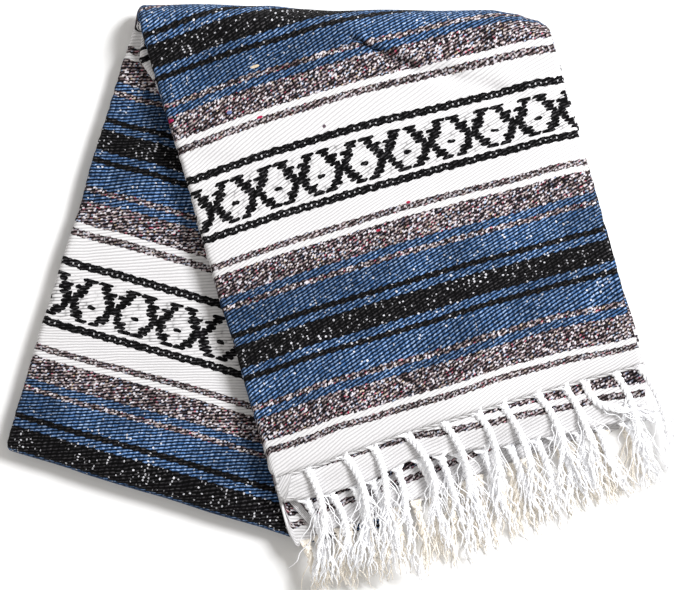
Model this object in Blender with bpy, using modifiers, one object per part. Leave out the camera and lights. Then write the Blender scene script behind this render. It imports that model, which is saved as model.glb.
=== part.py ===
"""A woven striped blanket with fringed ends, folded to a quarter of its width, doubled, and folded over at an angle.

The cloth lies on a flat surface, +Z up. Lengths are in metres. A place in the folded strip has three numbers:
u across the strip from its left edge, v along it from the axis of the angled fold (positive down the upper leg,
negative down the lower leg), and g through the stack of plies from the inside of that fold to its outside.
"""

import math
import random

import bmesh
import bpy
from mathutils import Vector

# The whole cloth and its plies
CLOTH_WIDTH = 1.350
FOLDS_ACROSS = 4
STRIP = CLOTH_WIDTH / FOLDS_ACROSS
PLIES = 2 * FOLDS_ACROSS
WALL = 0.0022
PITCH = 0.00265
STACK = PLIES * PITCH
GAP = 0.0003

# The angled fold, and the legs that it joins
FOLD_SLANT = math.radians(16.6)
FOLD_TURN = math.radians(-0.4)
BEND_RADIUS = (STACK + GAP) / 2
BEND = math.pi * BEND_RADIUS
BEND_HEIGHT = STACK + GAP / 2
UPPER_LEFT_EDGE = 0.4020
LOWER_LEFT_EDGE = 0.3690
BOTTOM_V = -(BEND / math.cos(FOLD_SLANT) + LOWER_LEFT_EDGE)
BOTTOM_RADIUS = STACK / 2

# The bottom fold draws back towards its right corner
DRAWN_BACK = 0.030
DRAWN_FROM = 0.80
DRAWN_OVER = 0.20

# How the upper leg sinks from the lower one to the surface beside it
DRAPE_START = 0.015
DRAPE_LENGTH = 0.110

# The rounded folds along the left edge, each round half of the plies
HEM_RADIUS = STACK / 4
HEM_TURN = math.radians(160)
HEM_STEPS = 5

# Ends of the cloth and of its fringe: how far past the upper leg's left end each lies, from the left edge on
END_TABLE = (
    # across, upper, middle, lower, fringe
    (0.00, 0.0000, 0.0215, 0.0640, 0.1060),
    (0.15, -0.0010, 0.0235, 0.0610, 0.1180),
    (0.40, -0.0060, 0.0215, 0.0560, 0.1270),
    (0.60, -0.0065, 0.0320, 0.0500, 0.1220),
    (0.85, -0.0055, 0.0380, 0.0460, 0.1120),
    (1.00, -0.0050, 0.0440, 0.0440, 0.1060),
)
UPPER, MIDDLE, LOWER, FRINGE = 1, 2, 3, 4
STEP = 0.001
SET_BACK = 0.006
SLOPE_CLEARANCE = 0.0022

# A soft trough that runs slantwise over the upper leg, near the fold
TROUGH_START = Vector((0.205, 0.020))
TROUGH_END = Vector((0.345, 0.062))
TROUGH_DEPTH = 0.0022
TROUGH_WIDTH = 0.011
TROUGH_FADE = 0.25

# The inner folds are pushed out at the left end of the angled fold
PUSH = 0.0065
PUSH_LENGTH = 0.075
PUSH_RISE = 0.004

# The plies under the outermost one: small set-backs and grooves that keep their edges apart in the section
GROOVE_DEPTH = 0.0010
GROOVE_LOW = 0.0004
GROOVE_HIGH = 0.0018
SELVEDGE_INSET = 0.0008
SELVEDGE_CHAMFER = 0.0020
FOLD_CLEARANCE = 0.0002
END_LOWERED = 1.25 * PITCH
BOTTOM_INSET = 1.9 * PITCH
LAST_LOWER_RING = 0.97

# Fringe
LOCKS = 13
STRANDS_PER_LOCK = 3
HEADING = 0.0050
HEADING_WALL = 0.0026
STRAND_RADIUS = 0.0013
STRAND_STEPS = 6
TAPER = 0.55
ROOT_DEPTH = 0.55
FIRST_STRAND = 0.002
LAST_STRAND = 0.004
SIDE_STRANDS = (0.86, 0.98)
SWING_JITTER = 1.5
CURL = 0.0012
FAN_LEFT = math.radians(-16)
FAN_RIGHT = math.radians(10)
FALL = 0.050
LIMPER = 0.060

END_INSET = 0.0020
ROUND_LIMIT = math.radians(83)
ACROSS = 16
UPPER_ROWS = 18
BEND_ROWS = 9
LOWER_ROWS = 5
BOTTOM_ROWS = 7

WHITE = (0.86, 0.86, 0.88, 1)
BLUE = (0.07, 0.16, 0.33, 1)
MELANGE = (0.21, 0.16, 0.16, 1)
CREAM = (0.80, 0.76, 0.69, 1)


def smooth(x):
    """0 below 0, 1 above 1, and an even curve between."""
    x = min(1.0, max(0.0, x))
    return x * x * (3 - 2 * x)


def end_of(column, u):
    """The v at which an end of the cloth lies, at this place across the strip."""
    across = min(1.0, max(0.0, u / STRIP))
    for low, high in zip(END_TABLE, END_TABLE[1:]):
        if across <= high[0]:
            break
    part = smooth((across - low[0]) / (high[0] - low[0]))
    return UPPER_LEFT_EDGE + low[column] + part * (high[column] - low[column])


def bottom_at(u):
    """The v at which the bottom fold begins, at this place across the strip."""
    return BOTTOM_V + DRAWN_BACK * smooth((u / STRIP - DRAWN_FROM) / DRAWN_OVER)


def past_lower_leg(w, t):
    """How far a place lies outside the lower leg, past its right edge or its bottom fold."""
    back = t + BEND
    u = w * math.cos(FOLD_SLANT) + back * math.sin(FOLD_SLANT)
    v = w * math.sin(FOLD_SLANT) - back * math.cos(FOLD_SLANT)
    right = u - STRIP
    bottom = bottom_at(u) - BOTTOM_RADIUS - v
    outside = math.hypot(max(right, 0.0), max(bottom, 0.0))
    return outside + min(max(right, bottom), 0.0)


def ground(w, t, v):
    """Height of what the upper leg rests on: the lower leg, or the surface beside it."""
    length = DRAPE_LENGTH - LIMPER * smooth((v - UPPER_LEFT_EDGE) / FALL)
    sunk = smooth((past_lower_leg(w, t) - DRAPE_START) / length)
    return (STACK + GAP) * (1 - sunk)


def trough(w, t):
    """Depth of the slanting trough at a place on the upper leg."""
    along = TROUGH_END - TROUGH_START
    offset = Vector((w, t)) - TROUGH_START
    share = offset.dot(along) / along.length_squared
    side = abs(offset.cross(along)) / along.length
    fade = smooth(1 + share / TROUGH_FADE) * smooth((1 + TROUGH_FADE - share) / (2 * TROUGH_FADE))
    return TROUGH_DEPTH * fade * math.exp(-((side / TROUGH_WIDTH) ** 2))


def on_surface(w, out, z):
    """A world place from the distance along the fold, the distance out from its axis, and the height."""
    x = w * math.cos(FOLD_TURN) + out * math.sin(FOLD_TURN)
    y = w * math.sin(FOLD_TURN) - out * math.cos(FOLD_TURN)
    return Vector((x, y, z))


def place(u, v, g):
    """World place of a point of the folded stack."""
    if v < bottom_at(u):
        return bottom_fold(u, bottom_at(u) - v, g)
    w = u * math.cos(FOLD_SLANT) + v * math.sin(FOLD_SLANT)
    t = v * math.cos(FOLD_SLANT) - u * math.sin(FOLD_SLANT)
    if t >= 0:
        pressed = trough(w, t) * min(1.0, g / (STACK - PITCH))
        return on_surface(w, t, ground(w, t, v) + g - pressed)
    if t > -BEND:
        angle = -t / BEND_RADIUS
        radius = g + GAP / 2
        return on_surface(w, -radius * math.sin(angle), BEND_HEIGHT + radius * math.cos(angle))
    return on_surface(w, -(t + BEND), STACK - g)


def bottom_fold(u, over, g):
    """World place of a point past the start of the lower leg's bottom fold."""
    from_middle = BOTTOM_RADIUS - g
    angle = min(over / BOTTOM_RADIUS, math.pi)
    v = bottom_at(u) - abs(from_middle) * math.sin(angle) + max(0.0, over - math.pi * BOTTOM_RADIUS)
    w = u * math.cos(FOLD_SLANT) + v * math.sin(FOLD_SLANT)
    t = v * math.cos(FOLD_SLANT) - u * math.sin(FOLD_SLANT)
    return on_surface(w, -(t + BEND), BOTTOM_RADIUS + from_middle * math.cos(angle))


def fold_v(u):
    """The v of the angled fold's axis, where the upper leg begins."""
    return u * math.tan(FOLD_SLANT)


def upper_row(share, column=UPPER):
    """A row across the upper leg, from the fold's axis at 0 to one of its ends at 1."""
    return lambda u: fold_v(u) + share * (end_of(column, u) - fold_v(u))


def bend_row(share):
    """A row along the angled fold, from its upper side at 0 to its lower side at 1."""
    return lambda u: fold_v(u) - share * BEND / math.cos(FOLD_SLANT)


def lower_row(share):
    """A row across the lower leg, from the angled fold at 0 to the bottom fold at 1."""
    return lambda u: bend_row(1)(u) + share * (bottom_at(u) - bend_row(1)(u))


def tuck_row(u):
    """The row where an inner ply comes out from under the upper one: one row short of the end."""
    return upper_row(1 - 1 / UPPER_ROWS)(u)


def inner_end_row(u):
    """The row where the plies under the middle end stop."""
    return end_of(MIDDLE, u) - SET_BACK


def lower_end_row(u, share):
    """A row over the lowest end of the cloth, from the plies above it at 0 to its fringe at 1."""
    start = inner_end_row(u) + SLOPE_CLEARANCE
    return start + share * (end_of(LOWER, u) - start)


def bottom_row(share):
    """A row round the bottom fold, from its upper side at 0 to its underside at 1."""
    return lambda u: bottom_at(u) - share * math.pi * BOTTOM_RADIUS


def shares(count, first=0.0, last=1.0):
    """Evenly spaced numbers, both ends included."""
    return [first + (last - first) * i / count for i in range(count + 1)]


def shell_section(outer):
    """(u, g) of the outermost ply's skin: round the left hem, then over to the right edge."""
    points = []
    for i in range(HEM_STEPS, 0, -1):
        angle = HEM_TURN * i / HEM_STEPS
        points.append((HEM_RADIUS * (1 - math.sin(angle)), HEM_RADIUS * (1 + math.cos(angle))))
    points += [(u, 2 * HEM_RADIUS) for u in shares(ACROSS, HEM_RADIUS, STRIP)]
    lift = STACK - 2 * HEM_RADIUS
    return [(u, g + lift) if outer else (u, 2 * HEM_RADIUS - g) for u, g in points]


def add_material(obj, name, colour):
    material = bpy.data.materials.new(name)
    material.use_nodes = True
    shader = material.node_tree.nodes["Principled BSDF"]
    shader.inputs["Base Color"].default_value = colour
    shader.inputs["Roughness"].default_value = 0.92
    shader.inputs["Metallic"].default_value = 0.0
    obj.data.materials.append(material)


def add_object(name, mesh, colour):
    obj = bpy.data.objects.new(name, mesh)
    blanket.objects.link(obj)
    add_material(obj, name, colour)
    return obj


def sheet(name, columns, rows, point_at, wall, colour):
    """A cloth wall: a grid whose points are moved onto the folded form, thickened inwards."""
    grid = bmesh.new()
    bmesh.ops.create_grid(grid, x_segments=columns, y_segments=rows, size=1)
    for vertex in grid.verts:
        column = round((vertex.co.x + 1) / 2 * columns)
        row = round((1 - vertex.co.y) / 2 * rows)
        vertex.co = point_at(column, row)
    mesh = bpy.data.meshes.new(name)
    grid.to_mesh(mesh)
    grid.free()
    obj = add_object(name, mesh, colour)
    obj.data.shade_smooth()
    thicken = obj.modifiers.new("wall", "SOLIDIFY")
    thicken.thickness = wall
    thicken.offset = -1
    thicken.use_even_offset = True
    return obj


def wrapped_cloth(name, rows, outer, colour):
    """A stretch of the outermost ply, with its hem turned under along the left edge."""
    section = shell_section(outer)

    def point_at(column, row):
        u, g = section[column]
        return place(u, rows[row](u), g)

    return sheet(name, len(section) - 1, len(rows) - 1, point_at, WALL, colour)


def round_side(centre_u, centre_g, radius, steps, right):
    """Points round one folded edge, from its lower side to its upper side."""
    points = []
    for angle in shares(steps, -math.pi / 2, math.pi / 2):
        reach = radius * math.cos(angle)
        points.append((centre_u + (reach if right else -reach), centre_g + radius * math.sin(angle)))
    return points


def hidden_section(upper_leg, lowered):
    """(u, g) round the hidden plies: folded edges at the left, selvedges and folded edges at the right."""
    inset = 0.0 if upper_leg else PITCH
    small = HEM_RADIUS - PITCH
    low_radius = HEM_RADIUS - inset
    top_g = STACK - PITCH - lowered
    groove_u = HEM_RADIUS + GROOVE_DEPTH
    edge = STRIP - SELVEDGE_INSET
    cut = edge - SELVEDGE_CHAMFER
    right = [(edge, inset), (edge, 2 * PITCH - FOLD_CLEARANCE), (cut, 2 * PITCH)]
    for folded in (3, 5):
        right += round_side(edge - PITCH, folded * PITCH, PITCH - FOLD_CLEARANCE, 3, True)
    right += [(cut, 6 * PITCH), (edge, 6 * PITCH + FOLD_CLEARANCE), (edge, top_g)]
    left = [(HEM_RADIUS, top_g)]
    top_radius = (top_g - (STACK - HEM_RADIUS - small)) / 2
    left += round_side(HEM_RADIUS, top_g - top_radius, top_radius, 3, False)[::-1][1:]
    left += [(groove_u, STACK / 2 + GROOVE_HIGH), (groove_u, STACK / 2 + GROOVE_LOW)]
    low = round_side(HEM_RADIUS, inset + low_radius, low_radius, 4, False)[::-1]
    left += low
    top = [(u, top_g) for u in shares(ACROSS, HEM_RADIUS, STRIP)][1:-1][::-1]
    floor = [(u, inset) for u in shares(ACROSS, HEM_RADIUS, STRIP)][1:-1]
    return floor + right + top + left


def loft(name, rings, colour):
    """A closed solid through rings of equally many points."""
    body = bmesh.new()
    loops = [[body.verts.new(point) for point in ring] for ring in rings]
    for first, second in zip(loops, loops[1:]):
        for i, corner in enumerate(first):
            after = (i + 1) % len(first)
            body.faces.new((corner, first[after], second[after], second[i]))
    body.faces.new(reversed(loops[0]))
    body.faces.new(loops[-1])
    if body.calc_volume(signed=True) < 0:
        bmesh.ops.reverse_faces(body, faces=body.faces)
    mesh = bpy.data.meshes.new(name)
    body.to_mesh(mesh)
    body.free()
    obj = add_object(name, mesh, colour)
    obj.data.shade_smooth()
    obj.data.set_sharp_from_angle(angle=math.radians(40))
    return obj


def hidden_layers():
    """All plies that the outermost one covers, through both legs and the angled fold."""
    rings = [round_ring(math.sin(angle)) for angle in shares(3, ROUND_LIMIT, 0)]
    rings += [hidden_ring(lower_row(share), False) for share in shares(LOWER_ROWS - 1, LAST_LOWER_RING, 0)]
    rings += [hidden_ring(bend_row(share), share == 0) for share in shares(BEND_ROWS - 1, 1, 0)[1:]]
    rings += [hidden_ring(upper_row(share), True) for share in shares(UPPER_ROWS)[1:-2]]
    rings.append(hidden_ring(lambda u: tuck_row(u) - STEP, True))
    rings += [hidden_ring(row, True, END_LOWERED) for row in (tuck_row, upper_row(1), inner_end_row)]
    return loft("hidden_layers", rings, MELANGE)


def hidden_ring(row, upper_leg, lowered=0.0):
    """One ring of the hidden plies, with its top lowered where a ply ends above it."""
    ring = []
    for u, g in hidden_section(upper_leg, lowered):
        v = row(u)
        if upper_leg and u < HEM_RADIUS and g < STACK / 2:
            u -= PUSH * smooth(1 - v / PUSH_LENGTH) * smooth(v / PUSH_RISE)
        ring.append(place(u, v, g))
    return ring


def round_ring(reach):
    """One ring of the hidden plies inside the bottom fold, at a share of its radius."""
    ring = []
    middle = STACK / 2
    for u, g in hidden_section(False, 0.0):
        v = bottom_at(u) - (BOTTOM_RADIUS - BOTTOM_INSET) * reach
        g = middle + (g - middle) * math.sqrt(1 - reach * reach)
        drawn_in = max(0.0, HEM_RADIUS - u) * min(1.0, 2 * reach)
        ring.append(flat_place(u + drawn_in, v, g))
    return ring


def flat_place(u, v, g):
    """A place on the lower leg, without the wrap of its bottom fold."""
    w = u * math.cos(FOLD_SLANT) + v * math.sin(FOLD_SLANT)
    t = v * math.cos(FOLD_SLANT) - u * math.sin(FOLD_SLANT)
    return on_surface(w, -(t + BEND), STACK - g)


def across_at(column):
    """Place across the strip of a column of an end piece, over the columns of the plies above and below."""
    return min(HEM_RADIUS + (STRIP - HEM_RADIUS) * column / ACROSS, STRIP - END_INSET)


def cloth_end(name, rows, level, colour):
    """The end of an inner ply where it shows past the one above."""

    def point_at(column, row):
        u = across_at(column)
        return place(u, rows[row](u), level + WALL)

    return sheet(name, ACROSS, len(rows) - 1, point_at, WALL, colour)


def heading(name, column, level, colour):
    """The narrow strip at an end of the cloth that the fringe is knotted into."""

    def point_at(i, row):
        u = across_at(i)
        return place(u, end_of(column, u) + GAP + HEADING * row, level + HEADING_WALL)

    return sheet(name, ACROSS, 1, point_at, HEADING_WALL, colour)


def strand_path(u, v, heights, swing, length, curl, drop_from):
    """The points of one strand, which falls from its heading to its own height on what lies below."""
    start_g, rest_g = heights
    points = []
    for share in shares(STRAND_STEPS):
        reach = length * share
        side = reach * math.sin(swing) + curl * math.sin(math.pi * share) * share
        along = v + reach * math.cos(swing)
        w = (u + side) * math.cos(FOLD_SLANT) + along * math.sin(FOLD_SLANT)
        t = along * math.cos(FOLD_SLANT) - (u + side) * math.sin(FOLD_SLANT)
        fall = smooth((along - drop_from) / FALL)
        points.append(on_surface(w, t, ground(w, t, along) + start_g + (rest_g - start_g) * fall))
    return points


def strand_mesh(points, radius):
    """A four-sided strand that thins towards its tip, as a mesh."""
    curve = bpy.data.curves.new("strand", "CURVE")
    curve.dimensions = "3D"
    curve.bevel_depth = radius
    curve.bevel_resolution = 0
    curve.use_fill_caps = True
    spline = curve.splines.new("POLY")
    spline.points.add(len(points) - 1)
    for i, (target, point) in enumerate(zip(spline.points, points)):
        target.co = (*point, 1)
        target.radius = 1.0 - TAPER * i / (len(points) - 1)
    holder = bpy.data.objects.new("strand", curve)
    blanket.objects.link(holder)
    bpy.context.view_layer.update()
    mesh = bpy.data.meshes.new_from_object(holder.evaluated_get(bpy.context.evaluated_depsgraph_get()))
    bpy.data.objects.remove(holder)
    bpy.data.curves.remove(curve)
    return mesh


def joined_strands(meshes):
    """All strands of one fringe as one mesh, their caps welded."""
    joined = bmesh.new()
    for mesh in meshes:
        joined.from_mesh(mesh)
        bpy.data.meshes.remove(mesh)
    bmesh.ops.remove_doubles(joined, verts=joined.verts, dist=0.00001)
    bmesh.ops.recalc_face_normals(joined, faces=joined.faces)
    mesh = bpy.data.meshes.new("strands")
    joined.to_mesh(mesh)
    joined.free()
    return mesh


def fringe(name, column, level, heights, length, seed, colour):
    """The knotted heading of one end of the cloth, with its strands fused into it."""
    chance = random.Random(seed)
    strip = heading(name, column, level, colour)
    count = LOCKS * STRANDS_PER_LOCK
    meshes = []
    for i in range(count):
        share = (i + 0.5) / count
        u = HEM_RADIUS + FIRST_STRAND + (STRIP - LAST_STRAND - HEM_RADIUS - FIRST_STRAND) * share
        v = end_of(column, u) + GAP + HEADING * ROOT_DEPTH
        jitter = math.radians(chance.uniform(-SWING_JITTER, SWING_JITTER))
        swing = FAN_LEFT + (FAN_RIGHT - FAN_LEFT) * share + jitter
        reach = min(length, (end_of(FRINGE, u) - v) / math.cos(swing))
        if i % STRANDS_PER_LOCK != 1:
            reach *= chance.uniform(*SIDE_STRANDS)
        curl = chance.uniform(-CURL, CURL)
        drop_from = end_of(MIDDLE, u) + HEADING
        path = strand_path(u, v, heights, swing, reach, curl, drop_from)
        meshes.append(strand_mesh(path, STRAND_RADIUS))
    strands = bpy.data.objects.new(name + "_strands", joined_strands(meshes))
    cutters.objects.link(strands)
    strands.hide_render = True
    strands.display_type = "WIRE"
    fuse = strip.modifiers.new("strands", "BOOLEAN")
    fuse.operation = "UNION"
    fuse.object = strands
    return strip


def centre_on_origin(objects):
    """Moves the whole object so that its box stands centred on the origin."""
    bpy.context.view_layer.update()
    graph = bpy.context.evaluated_depsgraph_get()
    corners = []
    for obj in objects:
        mesh = obj.evaluated_get(graph).to_mesh()
        corners += [obj.matrix_world @ vertex.co for vertex in mesh.vertices]
    low = Vector([min(c[axis] for c in corners) for axis in range(3)])
    high = Vector([max(c[axis] for c in corners) for axis in range(3)])
    shift = Vector((-(low.x + high.x) / 2, -(low.y + high.y) / 2, -low.z))
    for obj in list(blanket.objects) + list(cutters.objects):
        obj.location += shift
    print("box", [round(side * 1000, 1) for side in high - low], "low", [round(c * 1000, 2) for c in low])


for old in list(bpy.data.objects):
    bpy.data.objects.remove(old)
blanket = bpy.data.collections.new("blanket")
cutters = bpy.data.collections.new("cutters")
bpy.context.scene.collection.children.link(blanket)
bpy.context.scene.collection.children.link(cutters)

# The two walls of the outermost ply meet halfway along the underside
MEET = 0.5
FIRST_LOWER_ROW = 0.004
front_rows = [lower_row(share) for share in shares(2, 0, MEET)[:0:-1]]
front_rows += [bend_row(share) for share in shares(BEND_ROWS)[:0:-1]]
front_rows += [upper_row(share) for share in shares(UPPER_ROWS)]
wrapped_cloth("cloth_front", front_rows, True, BLUE)

back_rows = [lower_row(share) for share in shares(LOWER_ROWS, FIRST_LOWER_ROW, 1)]
back_rows += [bottom_row(share) for share in shares(BOTTOM_ROWS)[1:]]
back_rows.append(lambda u: bottom_row(1)(u) - (1 - MEET) * (bend_row(1)(u) - bottom_at(u)) + GAP)
wrapped_cloth("cloth_back", back_rows, False, BLUE)

hidden_layers()
middle_level = STACK - 2 * PITCH + (PITCH - WALL) / 2
middle_rows = [
    lambda u: tuck_row(u) + SLOPE_CLEARANCE,
    upper_row(1),
    inner_end_row,
    lambda u: end_of(MIDDLE, u),
]
cloth_end("end_middle", middle_rows, middle_level, WHITE)
lower_rows = [lambda u, share=share: lower_end_row(u, share) for share in shares(3)]
cloth_end("end_lower", lower_rows, GAP, WHITE)

# Each fringe: its end, its heading's level, the heights its strands start and rest at, their length, a seed
fringe("fringe_top", UPPER, STACK - WALL - 0.0001, (0.0208, 0.0082), 0.088, 3, WHITE)
fringe("fringe_middle", MIDDLE, middle_level - 0.0002, (0.0172, 0.0050), 0.084, 5, WHITE)
fringe("fringe_lower", LOWER, GAP, (0.0018, 0.0018), 0.084, 7, CREAM)
centre_on_origin(list(blanket.objects))
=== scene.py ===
"""The folded striped blanket, as it looks lying on a pale surface. Lengths are in metres.

The cloth is drawn on the CAD's own folding: u across the folded strip from its left edge, v along it from the
axis of the angled fold, g through the stack of plies. On the surface, w runs along the angled fold, and t
(or out) away from it. q is the place across the opened cloth, from one selvedge to the other, and d the place
along it, from the bottom fold: both legs read their stripes from d.
"""

import math
import random
from functools import partialmethod

import bpy
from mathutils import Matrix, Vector, noise


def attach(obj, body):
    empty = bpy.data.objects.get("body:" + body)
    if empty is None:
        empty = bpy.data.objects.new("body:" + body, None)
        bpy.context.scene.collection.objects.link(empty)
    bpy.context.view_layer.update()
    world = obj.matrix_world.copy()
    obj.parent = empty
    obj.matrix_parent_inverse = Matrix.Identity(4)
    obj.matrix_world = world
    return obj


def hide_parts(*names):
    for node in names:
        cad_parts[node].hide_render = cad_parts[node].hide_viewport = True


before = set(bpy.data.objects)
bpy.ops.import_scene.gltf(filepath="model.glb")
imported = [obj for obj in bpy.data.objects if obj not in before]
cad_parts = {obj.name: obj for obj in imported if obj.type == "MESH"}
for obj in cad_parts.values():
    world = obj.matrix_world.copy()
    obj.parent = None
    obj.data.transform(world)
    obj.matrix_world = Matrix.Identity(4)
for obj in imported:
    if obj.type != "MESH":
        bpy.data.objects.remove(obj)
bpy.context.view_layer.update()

# The CAD's folding
STRIP = 1.350 / 4
PLY = 0.00265
STACK = 8 * PLY
GAP = 0.0003
SLANT = math.radians(16.6)
TURN = math.radians(-0.4)
BEND_RADIUS = (STACK + GAP) / 2
BEND = math.pi * BEND_RADIUS
BEND_HEIGHT = STACK + GAP / 2
UPPER_END = 0.4020
BOTTOM_V = -(BEND / math.cos(SLANT) + 0.3690)
BOTTOM_RADIUS = STACK / 2
CORNER = Vector((-0.17324, 0.23468, 0.0))
DRAPE_START = 0.015
DRAPE_LENGTH = 0.110
LIMPER = 0.060
FALL = 0.050
END_TABLE = (
    # across, upper, middle, lower, fringe: how far past UPPER_END each end of the cloth lies
    (0.00, 0.0000, 0.0235, 0.0640, 0.1060),
    (0.12, -0.0005, 0.0270, 0.0615, 0.1160),
    (0.22, -0.0030, 0.0262, 0.0590, 0.1200),
    (0.37, -0.0058, 0.0190, 0.0565, 0.1260),
    (0.48, -0.0062, 0.0240, 0.0530, 0.1250),
    (0.60, -0.0065, 0.0310, 0.0500, 0.1220),
    (0.85, -0.0055, 0.0380, 0.0460, 0.1120),
    (1.00, -0.0050, 0.0440, 0.0440, 0.1060),
)
UPPER, MIDDLE, LOWER, FRINGE = 1, 2, 3, 4

# The drawing's own unit, in which the stripes are measured
UNIT = 0.0008654
# The woven pattern, along the cloth: one repeat, seen mirrored about each black band
REPEAT = 0.26957
HALF = REPEAT / 2
D_AT_FOLD = 0.5178
D_AT_END = 0.9160
D_AT_LOWER_END = 0.9095
D_BOTTOM = 0.0024
WALL = 0.0020


def smooth(x):
    x = min(1.0, max(0.0, x))
    return x * x * (3 - 2 * x)


def between(table, x, column=1):
    """A value from a table whose rows begin with their place, with even curves from one row to the next."""
    if x <= table[0][0]:
        return table[0][column]
    for low, high in zip(table, table[1:]):
        if x <= high[0]:
            share = smooth((x - low[0]) / (high[0] - low[0]))
            return low[column] + share * (high[column] - low[column])
    return table[-1][column]


def end_of(column, u):
    """The v of one of the cloth's ends."""
    return UPPER_END + between(END_TABLE, u / STRIP, column)


def bottom_at(u):
    return BOTTOM_V + 0.030 * smooth((u / STRIP - 0.80) / 0.20)


def on_leg(u, v):
    """(w, t) of a place on the upper leg."""
    return u * math.cos(SLANT) + v * math.sin(SLANT), v * math.cos(SLANT) - u * math.sin(SLANT)


def past_lower_leg(w, t):
    """How far a place lies outside the lower leg; negative over it."""
    back = t + BEND
    u = w * math.cos(SLANT) + back * math.sin(SLANT)
    v = w * math.sin(SLANT) - back * math.cos(SLANT)
    right = u - STRIP
    bottom = bottom_at(u) - BOTTOM_RADIUS - v
    return math.hypot(max(right, 0.0), max(bottom, 0.0)) + min(max(right, bottom), 0.0)


def ground(w, t, v):
    """Height of what the upper leg lies on: the lower leg, then the drape down to the surface."""
    length = DRAPE_LENGTH - LIMPER * smooth((v - UPPER_END) / FALL)
    return (STACK + GAP) * (1 - smooth((past_lower_leg(w, t) - DRAPE_START) / length))


# How far the angled fold swells out, by the place along it: full at the left, pinched at the right corner
REACH = (
    (-0.010, 1.00), (0.000, 1.17), (0.046, 1.20), (0.105, 1.17), (0.140, 1.00), (0.172, 0.95),
    (0.243, 1.01), (0.302, 0.99), (0.322, 0.86), (0.340, 0.62), (0.352, 0.30),
)
# Creases on the upper leg: (start, end) as (w, t), depth, width, height of the roll above and of that below
CREASES = (
    ((0.1840, 0.0066), (0.2060, 0.0170), 0.0052, 0.0021, 0.0030, 0.0004),
    ((0.2040, 0.0160), (0.2330, 0.0310), 0.0046, 0.0044, 0.0036, 0.0003),
    ((0.2300, 0.0290), (0.2700, 0.0400), 0.0024, 0.0070, 0.0012, 0.0002),
    ((0.2620, 0.0350), (0.3060, 0.0510), 0.0026, 0.0085, 0.0010, 0.0003),
    ((0.3060, 0.0510), (0.3450, 0.0620), 0.0018, 0.0075, 0.0007, 0.0002),
    ((0.0400, 0.1100), (0.0850, 0.1180), 0.0010, 0.0100, 0.0004, 0.0002),
    ((0.2400, 0.1900), (0.3300, 0.2150), 0.0011, 0.0120, 0.0004, 0.0002),
    ((0.1200, 0.2900), (0.2000, 0.3050), 0.0010, 0.0120, 0.0004, 0.0002),
)
# The rolls above and below: how far from the crease and how wide, in its own widths
ROLLS = ((2.0, 1.3), (-2.1, 1.4))
# How far a crease runs past its ends, and over what length it fades there, in its own lengths
CREASE_PAST = 0.35
CREASE_FADE = 0.45


def bell(x, reach):
    return math.exp(-((x / reach) ** 2))


def crease_depth(w, t):
    """How far the upper leg's surface is pressed in at a place; negative on the rolls beside a crease."""
    depth = 0.0
    for start, end, deep, wide, *heights in CREASES:
        along = Vector(end) - Vector(start)
        offset = Vector((w, t)) - Vector(start)
        share = offset.dot(along) / along.length_squared
        fade = smooth((share + CREASE_PAST) / CREASE_FADE) * smooth((1 + CREASE_PAST - share) / CREASE_FADE)
        if fade == 0:
            continue
        side = offset.cross(along) / along.length
        depth += fade * deep * bell(side, wide)
        for height, (centre, reach) in zip(heights, ROLLS):
            depth -= fade * height * bell(side - centre * wide, reach * wide)
    return depth


# Heights of the swells of soft cloth, how much of a crease goes over the fold, how plump the bottom fold is,
# and how far from a fold or an edge the swells begin
BROAD_SWELL = 0.0016
FINE_SWELL = 0.0005
FOLD_SWELL = 0.0012
FOLD_CREASED = 0.8
BOTTOM_PLUMP = 0.10
SWELL_FROM = 0.03


def undulation(x, y, seed):
    """Low swells of soft cloth."""
    broad = noise.noise(Vector((x * 13, y * 13, seed)))
    fine = noise.noise(Vector((x * 42, y * 42, seed + 7.3)))
    return BROAD_SWELL * broad + FINE_SWELL * fine


def lower_swell(w, out, share=1.0):
    """How much thicker the lower leg lies, where the upper one leaves it bare."""
    bare = smooth((out * math.sin(SLANT) - w * math.cos(SLANT)) / SWELL_FROM)
    return 1 + share * bare * undulation(w, out, 9.4) / STACK


def on_surface(w, out, z):
    x = w * math.cos(TURN) + out * math.sin(TURN)
    y = w * math.sin(TURN) - out * math.cos(TURN)
    return CORNER + Vector((x, y, z))


def place(u, v, g):
    """World place of a point of the folded stack, with its swells and creases."""
    if v < bottom_at(u):
        return bottom_fold(u, bottom_at(u) - v, g)
    w, t = on_leg(u, v)
    share = g / STACK
    if t >= 0:
        swell = undulation(w, t, 3.1) * smooth(t / SWELL_FROM)
        return on_surface(w, t, ground(w, t, v) + g + share * (swell - crease_depth(w, t)))
    if t > -BEND:
        angle = -t / BEND_RADIUS
        radius = g + GAP / 2
        bulge = 1 + (between(REACH, w) - 1) * share
        swell = share * FOLD_SWELL * noise.noise(Vector((w * 22, angle * 0.7, 1.7))) * math.sin(angle)
        out = -(radius * bulge + swell) * math.sin(angle)
        pressed = share * crease_depth(w, out) * FOLD_CREASED
        return on_surface(w, out, BEND_HEIGHT + radius * math.cos(angle) - pressed)
    out = -(t + BEND)
    return on_surface(w, out, (STACK - g) * lower_swell(w, out))


def bottom_fold(u, over, g):
    """World place of a point on the bottom fold, or on the underside past it."""
    m = BOTTOM_RADIUS - g
    angle = min(over / BOTTOM_RADIUS, math.pi)
    plump = 1 + BOTTOM_PLUMP * noise.noise(Vector((u * 24, 0.3, 5.5)))
    v = bottom_at(u) - abs(m) * plump * math.sin(angle) + max(0.0, over - math.pi * BOTTOM_RADIUS)
    w, t = on_leg(u, v)
    out = -(t + BEND)
    z = BOTTOM_RADIUS + m * math.cos(angle)
    return on_surface(w, out, z * lower_swell(w, out, 1 - smooth(angle / math.pi)))


# Across the opened cloth: four plies joined by three folds, as (u, g in plies) for the outer half
FOLD_LEFT = 2 * PLY
FOLD_RIGHT = STRIP - PLY


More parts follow.
